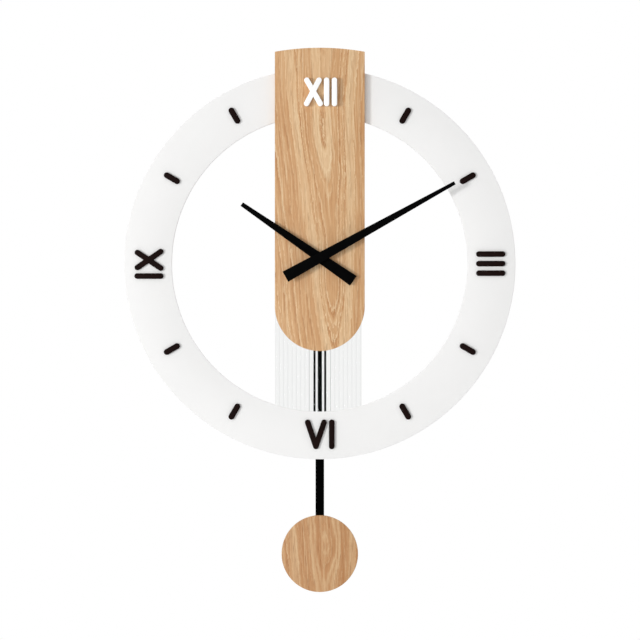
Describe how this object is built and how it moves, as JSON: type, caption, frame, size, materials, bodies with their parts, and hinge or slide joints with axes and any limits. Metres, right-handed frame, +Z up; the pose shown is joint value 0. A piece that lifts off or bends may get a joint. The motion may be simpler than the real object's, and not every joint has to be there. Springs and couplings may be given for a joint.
{
  "type": "pendulum wall clock",
  "caption": "Wall clock with a white open dial ring, an oak centre panel over a fluted clear strip, two flat black hands, a battery movement and a swinging oak pendulum.",
  "frame": {"origin": "centre of the hanging hole, on the wall plane", "axes": "+Z up, -Y out of the wall towards the viewer, +X to the viewer's right"},
  "size_m": [0.3999, 0.0492, 0.5575],
  "materials": {
    "oak": "oiled",
    "ring_white": "satin",
    "clear_acrylic": "polished",
    "numeral_white": "polished",
    "marker_brown_black": "stained",
    "hand_black": "matt",
    "rod_black": "matt",
    "case_black": "textured",
    "white_plastic": "moulded",
    "grey_plastic": "moulded",
    "brass": "turned",
    "steel": "zinc plated",
    "magnet": "sintered",
    "copper_wire": "enamelled wire",
    "board_green": "lacquered",
    "chip_black": "resin",
    "battery_sleeve": "printed sleeve",
    "rubber": "matt",
    "spacer_board": "fibreboard"
  },
  "bodies": {
    "clock": {"oak_panel": "oak", "dial_ring": "ring_white", "fluted_strip": "clear_acrylic", "numeral_xii": "numeral_white", "numeral_iii": "marker_brown_black", "numeral_vi": "marker_brown_black", "numeral_ix": "marker_brown_black", "hour_bars": "marker_brown_black", "front_housing": "case_black", "back_cover": "case_black", "middle_plate": "white_plastic", "stator": "steel", "coil_core": "steel", "coil_bobbin": "white_plastic", "coil_winding": "copper_wire", "circuit_board": "board_green", "quartz_crystal": "steel", "driver_chip": "chip_black", "battery": "battery_sleeve", "positive_contact": "steel", "negative_contact": "steel", "mounting_bush": "brass", "nut_washer": "brass", "round_nut": "brass", "rubber_gasket": "rubber", "hanger_bracket": "steel", "wall_pads": "rubber", "cover_screws": "steel", "panel_screws": "steel", "ring_screws": "steel", "pivot_pin": "steel", "pendulum_coil": "copper_wire", "pendulum_board": "board_green", "centre_spacer": "spacer_board"},
    "minute_group": {"minute_hand": "hand_black", "minute_hub": "brass", "minute_arbor": "steel", "clutch_spring": "steel"},
    "hour_group": {"hour_hand": "hand_black", "hour_hub": "brass", "hour_wheel": "white_plastic"},
    "setting_group": {"minute_wheel": "white_plastic", "setting_knob": "grey_plastic"},
    "centre_wheel_group": {"centre_wheel": "white_plastic"},
    "third_wheel_group": {"third_wheel": "white_plastic"},
    "second_wheel_group": {"second_wheel": "white_plastic"},
    "fifth_wheel_group": {"fifth_wheel": "white_plastic"},
    "rotor_group": {"rotor_pinion": "white_plastic", "rotor_magnet": "magnet"},
    "pendulum": {"swing_lever": "grey_plastic", "lever_magnet": "magnet", "pendulum_rod": "rod_black", "pendulum_bob": "oak", "bob_screws": "steel"}
  },
  "joints": [
    {"name": "minute_hand_turn", "type": "hinge", "parent": "clock", "child": "minute_group", "pos_m": [0, 0, -0.0542], "axis": [0, 1, 0], "continuous": true},
    {"name": "hour_hand_turn", "type": "hinge", "parent": "clock", "child": "hour_group", "pos_m": [0, 0, -0.0542], "axis": [0, 1, 0], "continuous": true},
    {"name": "setting_knob_turn", "type": "hinge", "parent": "clock", "child": "setting_group", "pos_m": [0.00866, 0, -0.0492], "axis": [0, 1, 0], "continuous": true},
    {"name": "rotor_turn", "type": "hinge", "parent": "clock", "child": "rotor_group", "pos_m": [-0.00889, 0, -0.06864], "axis": [0, 1, 0], "continuous": true},
    {"name": "fifth_wheel_turn", "type": "hinge", "parent": "clock", "child": "fifth_wheel_group", "pos_m": [-0.01048, 0, -0.06272], "axis": [0, 1, 0], "continuous": true},
    {"name": "second_wheel_turn", "type": "hinge", "parent": "clock", "child": "second_wheel_group", "pos_m": [-0.01304, 0, -0.05568], "axis": [0, 1, 0], "continuous": true},
    {"name": "third_wheel_turn", "type": "hinge", "parent": "clock", "child": "third_wheel_group", "pos_m": [-0.00795, 0, -0.04961], "axis": [0, 1, 0], "continuous": true},
    {"name": "centre_wheel_turn", "type": "hinge", "parent": "clock", "child": "centre_wheel_group", "pos_m": [0, 0, -0.0542], "axis": [0, 1, 0], "continuous": true},
    {"name": "pendulum_swing", "type": "hinge", "parent": "clock", "child": "pendulum", "pos_m": [0, 0, -0.0902], "axis": [0, 1, 0], "range_deg": [-4, 4]}
  ],
  "couplings": [
    {"joint": "hour_hand_turn", "follows": "minute_hand_turn", "ratio": 0.083333},
    {"joint": "setting_knob_turn", "follows": "minute_hand_turn", "ratio": -0.33333},
    {"joint": "fifth_wheel_turn", "follows": "rotor_turn", "ratio": -0.13333},
    {"joint": "second_wheel_turn", "follows": "rotor_turn", "ratio": 0.033333},
    {"joint": "third_wheel_turn", "follows": "rotor_turn", "ratio": -0.0041667},
    {"joint": "centre_wheel_turn", "follows": "rotor_turn", "ratio": 0.00055556}
  ]
}
